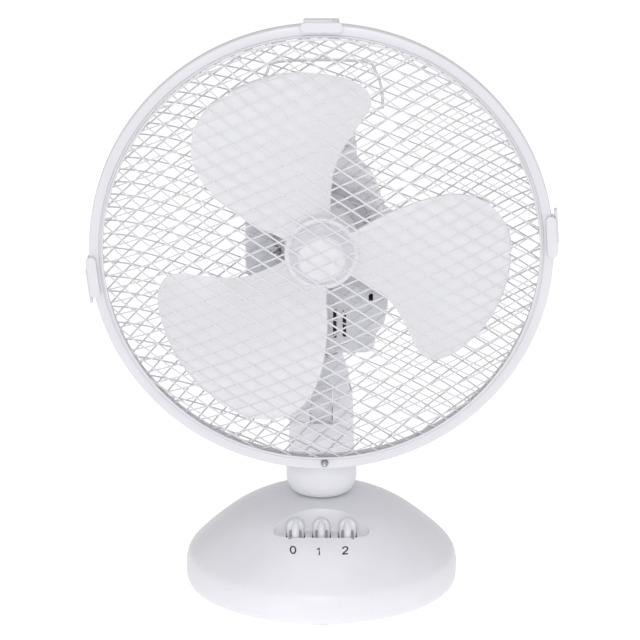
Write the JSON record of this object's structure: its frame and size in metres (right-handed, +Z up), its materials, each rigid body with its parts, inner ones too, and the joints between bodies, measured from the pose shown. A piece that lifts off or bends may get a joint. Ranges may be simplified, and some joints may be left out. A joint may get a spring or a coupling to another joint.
{
  "type": "desk fan",
  "caption": "Oscillating desk fan with wire-mesh guards on a clamp ring, a tilting and swinging head, a short neck and a domed base with push buttons.",
  "frame": {"origin": "middle of the base on the surface it stands on, under the neck's axis", "axes": "+Z up, the fan blows towards -Y, +X to the right seen from the front"},
  "size_m": [0.2926, 0.1749, 0.3866],
  "materials": {
    "white_abs": "moulded white plastic, satin",
    "blade_plastic": "moulded white plastic, slightly glossier",
    "coated_wire": "white powder-coated steel wire",
    "rubber": "black moulded rubber",
    "steel": "zinc-plated steel",
    "iron": "dark iron",
    "copper": "enamelled copper wire",
    "dark_plastic": "dark moulded plastic",
    "nylon": "natural nylon"
  },
  "bodies": {
    "base": {"base_shell": "white_abs", "base_plate": "white_abs", "base_screw_1": "steel", "base_screw_2": "steel", "base_screw_3": "steel", "base_screw_4": "steel", "rubber_foot_1": "rubber", "rubber_foot_2": "rubber", "rubber_foot_3": "rubber", "rubber_foot_4": "rubber", "ballast_weight": "iron", "cord_gland": "dark_plastic", "switch_block": "dark_plastic", "neck_column": "white_abs", "column_nut": "steel"},
    "button_0": {"push_button_0": "white_abs"},
    "button_1": {"push_button_1": "white_abs"},
    "button_2": {"push_button_2": "white_abs"},
    "yoke": {"tilt_yoke": "white_abs", "tilt_bolt": "steel", "tilt_nut": "steel", "pivot_shaft": "steel", "pivot_washer": "nylon", "pivot_plate": "steel"},
    "link": {"oscillator_link": "steel"},
    "head": {"motor_front_housing": "white_abs", "motor_rear_housing": "white_abs", "housing_screw_1": "steel", "housing_screw_2": "steel", "stator_core": "iron", "stator_winding_front": "copper", "stator_winding_rear": "copper", "front_bearing": "steel", "rear_bearing": "steel", "gearbox_bracket": "steel", "front_guard": "coated_wire", "rear_guard": "coated_wire", "guard_nut": "white_abs", "guard_clamp_ring": "white_abs", "guard_screw": "steel", "carry_handle": "coated_wire"},
    "rotor": {"motor_shaft": "steel", "rotor_core": "iron", "fan_blade": "blade_plastic", "spinner": "blade_plastic"},
    "clutch": {"clutch_shaft": "steel", "worm_wheel": "nylon"},
    "crank": {"crank_gear": "nylon"},
    "knob": {"oscillation_knob": "white_abs"},
    "clip_1": {"guard_clip_1": "white_abs"},
    "clip_2": {"guard_clip_2": "white_abs"},
    "clip_3": {"guard_clip_3": "white_abs"}
  },
  "joints": [
    {"name": "button_0_press", "type": "slide", "parent": "base", "child": "button_0", "axis": [0, 0, -1], "range_m": [0, 0.004], "stiffness_N_per_m": 250, "springref_m": -0.002},
    {"name": "button_1_press", "type": "slide", "parent": "base", "child": "button_1", "axis": [0, 0, -1], "range_m": [0, 0.004], "stiffness_N_per_m": 250, "springref_m": -0.002},
    {"name": "button_2_press", "type": "slide", "parent": "base", "child": "button_2", "axis": [0, 0, -1], "range_m": [0, 0.004], "stiffness_N_per_m": 250, "springref_m": -0.002},
    {"name": "head_tilt", "type": "hinge", "parent": "base", "child": "yoke", "pos_m": [0, 0, 0.134], "axis": [-1, 0, 0], "range_deg": [-10, 20]},
    {"name": "head_swing", "type": "hinge", "parent": "yoke", "child": "head", "pos_m": [0, 0, 0.156], "axis": [0, 0, 1], "range_deg": [-35, 35]},
    {"name": "link_turn", "type": "hinge", "parent": "yoke", "child": "link", "pos_m": [-0.017, 0.006, 0.172], "axis": [0, 0, 1], "range_deg": [-28, 28]},
    {"name": "rotor_spin", "type": "hinge", "parent": "head", "child": "rotor", "pos_m": [0, 0, 0.24], "axis": [0, 1, 0], "continuous": true},
    {"name": "clutch_spin", "type": "hinge", "parent": "head", "child": "clutch", "pos_m": [0.0132, 0.036, 0.2], "axis": [0, 0, 1], "continuous": true},
    {"name": "crank_spin", "type": "hinge", "parent": "head", "child": "crank", "pos_m": [-0.00011, 0.032, 0.184], "axis": [0, 0, 1], "continuous": true},
    {"name": "knob_pull", "type": "slide", "parent": "head", "child": "knob", "axis": [0, 0, 1], "range_m": [0, 0.006]},
    {"name": "clip_1_open", "type": "hinge", "parent": "head", "child": "clip_1", "pos_m": [0.14471, -0.05, 0.2491], "axis": [-0.0628, 0, 0.998], "range_deg": [0, 60]},
    {"name": "clip_2_open", "type": "hinge", "parent": "head", "child": "clip_2", "pos_m": [0, -0.05, 0.385], "axis": [-1, 0, 0], "range_deg": [0, 60]},
    {"name": "clip_3_open", "type": "hinge", "parent": "head", "child": "clip_3", "pos_m": [-0.14392, -0.05, 0.22233], "axis": [0.1219, 0, -0.9925], "range_deg": [0, 60]}
  ],
  "couplings": [
    {"joint": "link_turn", "follows": "head_swing", "ratio": 0.8},
    {"joint": "clutch_spin", "follows": "rotor_spin", "ratio": 0.041667},
    {"joint": "crank_spin", "follows": "rotor_spin", "ratio": -0.015}
  ]
}
